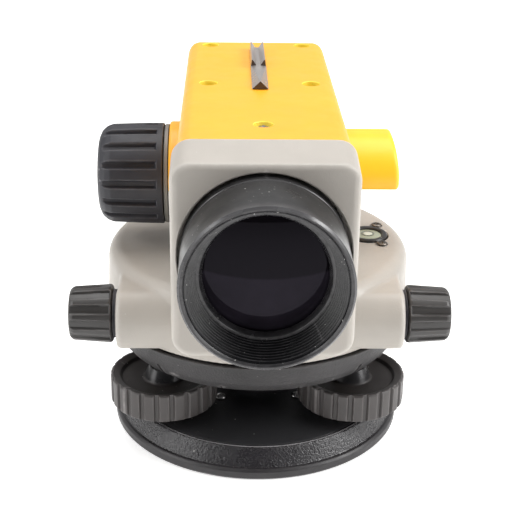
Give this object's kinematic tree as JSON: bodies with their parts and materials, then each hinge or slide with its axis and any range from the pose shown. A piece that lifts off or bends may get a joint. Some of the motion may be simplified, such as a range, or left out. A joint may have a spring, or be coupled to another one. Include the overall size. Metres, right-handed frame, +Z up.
{
  "type": "automatic level",
  "caption": "Self-levelling surveying telescope on a three-screw levelling base, with focus knob, tangent screw, circular bubble and horizontal circle.",
  "frame": {"origin": "centre of the tripod thread, on the base plate's bottom face", "axes": "+Z up along the vertical axis; the telescope looks along -Y with the eyepiece at +Y; +X is the bubble's side and -X the focus knob's"},
  "size_m": [0.136, 0.2064, 0.1345],
  "materials": {
    "grey_paint": "fine textured warm grey paint on cast aluminium",
    "yellow_paint": "smooth satin yellow paint",
    "black_satin": "satin black paint",
    "black_grained": "fine-grained black powder coat",
    "anodised_black": "matt black anodising",
    "knob_rubber": "moulded ribbed rubber",
    "knob_plastic": "moulded satin plastic",
    "steel": "turned steel",
    "bright_screw": "plated screws",
    "brass": "turned brass",
    "sight_metal": "bright machined metal",
    "coated_glass": "coated objective glass, dark with a violet reflection",
    "clear_glass": "polished clear glass",
    "vial": "pale green spirit vial",
    "mirror": "silvered mirror"
  },
  "bodies": {
    "base": {"base_plate": "black_grained", "spring_plate": "black_satin", "tripod_thread_insert": "brass", "spring_plate_screw_1": "bright_screw", "spring_plate_screw_2": "bright_screw", "spring_plate_screw_3": "bright_screw"},
    "front_feet": {"left_ball_foot": "steel", "right_ball_foot": "steel"},
    "head": {"leveling_head": "black_satin", "axis_spindle": "steel", "left_foot_bushing": "brass", "right_foot_bushing": "brass", "rear_foot_bushing": "brass"},
    "left_foot_screw": {"left_foot_spindle": "steel"},
    "left_knob": {"left_foot_knob": "knob_plastic"},
    "right_foot_screw": {"right_foot_spindle": "steel"},
    "right_knob": {"right_foot_knob": "knob_plastic"},
    "rear_foot_screw": {"rear_foot_spindle": "steel", "rear_ball_foot": "steel"},
    "rear_knob": {"rear_foot_knob": "knob_plastic"},
    "circle": {"horizontal_circle": "black_grained"},
    "clutch_wheel": {"tangent_wheel": "brass"},
    "alidade": {"main_housing": "grey_paint", "top_cover": "yellow_paint", "axis_sleeve": "brass", "cover_screw_front": "bright_screw", "cover_screw_left_middle": "bright_screw", "cover_screw_right_middle": "bright_screw", "cover_screw_left_rear": "bright_screw", "cover_screw_right_rear": "bright_screw", "peep_sight": "sight_metal", "bubble_holder": "black_satin", "bubble_vial": "vial", "bubble_mirror": "mirror", "bubble_adjusting_screw_1": "bright_screw", "bubble_adjusting_screw_2": "bright_screw", "objective_barrel": "anodised_black", "objective_lens": "coated_glass", "lens_retaining_ring": "anodised_black", "focus_flange": "sight_metal", "left_tangent_seal": "knob_rubber", "right_tangent_seal": "knob_rubber", "compensator_yoke": "sight_metal", "roof_prism": "clear_glass", "damping_magnet": "steel", "eyepiece_mount": "anodised_black", "reticle": "clear_glass"},
    "tangent_screw": {"tangent_shaft": "steel", "left_tangent_knob": "knob_plastic", "right_tangent_knob": "knob_plastic"},
    "focus_knob": {"focus_shaft": "steel", "focus_knob_grip": "knob_rubber"},
    "focusing_carriage": {"focusing_lens_cell": "brass", "focusing_lens": "clear_glass"},
    "compensator": {"pendulum": "brass", "pendulum_prism": "clear_glass"},
    "diopter": {"diopter_ring": "knob_plastic"},
    "eyepiece": {"eyepiece_tube": "anodised_black", "eyepiece_lens": "coated_glass", "eyecup": "knob_rubber"}
  },
  "joints": [
    {"name": "tilt_fore_aft", "type": "hinge", "parent": "base", "child": "front_feet", "pos_m": [0, -0.02075, 0.01], "axis": [1, 0, 0], "range_deg": [-2, 2]},
    {"name": "tilt_side", "type": "hinge", "parent": "front_feet", "child": "head", "pos_m": [0, -0.02075, 0.01], "axis": [0, 1, 0], "range_deg": [-2, 2]},
    {"name": "left_foot_lift", "type": "slide", "parent": "head", "child": "left_foot_screw", "axis": [0, 0, 1], "range_m": [-0.0013, 0.0013]},
    {"name": "left_foot_turn", "type": "hinge", "parent": "left_foot_screw", "child": "left_knob", "pos_m": [-0.03594, -0.02075, 0.022], "axis": [0, 0, 1], "range_deg": [-429.72, 429.72]},
    {"name": "right_foot_lift", "type": "slide", "parent": "head", "child": "right_foot_screw", "axis": [0, 0, 1], "range_m": [-0.0013, 0.0013]},
    {"name": "right_foot_turn", "type": "hinge", "parent": "right_foot_screw", "child": "right_knob", "pos_m": [0.03594, -0.02075, 0.022], "axis": [0, 0, 1], "range_deg": [-430.72, 430.72]},
    {"name": "rear_foot_lift", "type": "slide", "parent": "head", "child": "rear_foot_screw", "axis": [0, 0, 1], "range_m": [-0.0022, 0.0022]},
    {"name": "rear_foot_turn", "type": "hinge", "parent": "rear_foot_screw", "child": "rear_knob", "pos_m": [0, 0.0415, 0.022], "axis": [0, 0, 1], "range_deg": [-744.85, 744.85]},
    {"name": "circle_turn", "type": "hinge", "parent": "head", "child": "circle", "pos_m": [0, 0, 0.042], "axis": [0, 0, 1], "continuous": true},
    {"name": "coarse_turn", "type": "hinge", "parent": "head", "child": "clutch_wheel", "pos_m": [0, 0, 0.059], "axis": [0, 0, 1], "continuous": true},
    {"name": "fine_turn", "type": "hinge", "parent": "clutch_wheel", "child": "alidade", "pos_m": [0, 0, 0.059], "axis": [0, 0, 1], "continuous": true},
    {"name": "tangent_screw_turn", "type": "hinge", "parent": "alidade", "child": "tangent_screw", "pos_m": [0, -0.038, 0.059], "axis": [1, 0, 0], "continuous": true},
    {"name": "focus_turn", "type": "hinge", "parent": "alidade", "child": "focus_knob", "pos_m": [-0.047, 0, 0.0989], "axis": [-1, 0, 0], "range_deg": [-238, 119]},
    {"name": "focus_travel", "type": "slide", "parent": "alidade", "child": "focusing_carriage", "axis": [0, 1, 0], "range_m": [-0.0101, 0.0051]},
    {"name": "compensator_swing", "type": "hinge", "parent": "alidade", "child": "compensator", "pos_m": [0, 0.041, 0.114], "axis": [1, 0, 0], "range_deg": [-1.2, 1.2]},
    {"name": "diopter_turn", "type": "hinge", "parent": "alidade", "child": "diopter", "pos_m": [0, 0.085, 0.0979], "axis": [0, 1, 0], "range_deg": [-150, 150]},
    {"name": "eyepiece_travel", "type": "slide", "parent": "alidade", "child": "eyepiece", "axis": [0, 1, 0], "range_m": [-0.0018, 0.0018]}
  ],
  "couplings": [
    {"joint": "rear_foot_lift", "follows": "rear_foot_turn", "m_per_rad": 0.00015915},
    {"joint": "tilt_fore_aft", "follows": "rear_foot_turn", "ratio": -0.0025567},
    {"joint": "left_foot_lift", "follows": "left_foot_turn", "m_per_rad": 0.00015915},
    {"joint": "tilt_side", "follows": "left_foot_turn", "ratio": -0.0044284},
    {"joint": "right_foot_turn", "follows": "left_foot_turn", "ratio": -1},
    {"joint": "right_foot_lift", "follows": "left_foot_turn", "m_per_rad": -0.00015915},
    {"joint": "fine_turn", "follows": "tangent_screw_turn", "ratio": 0.0071429},
    {"joint": "focus_travel", "follows": "focus_turn", "m_per_rad": 0.0024},
    {"joint": "eyepiece_travel", "follows": "diopter_turn", "m_per_rad": 0.00063662}
  ]
}
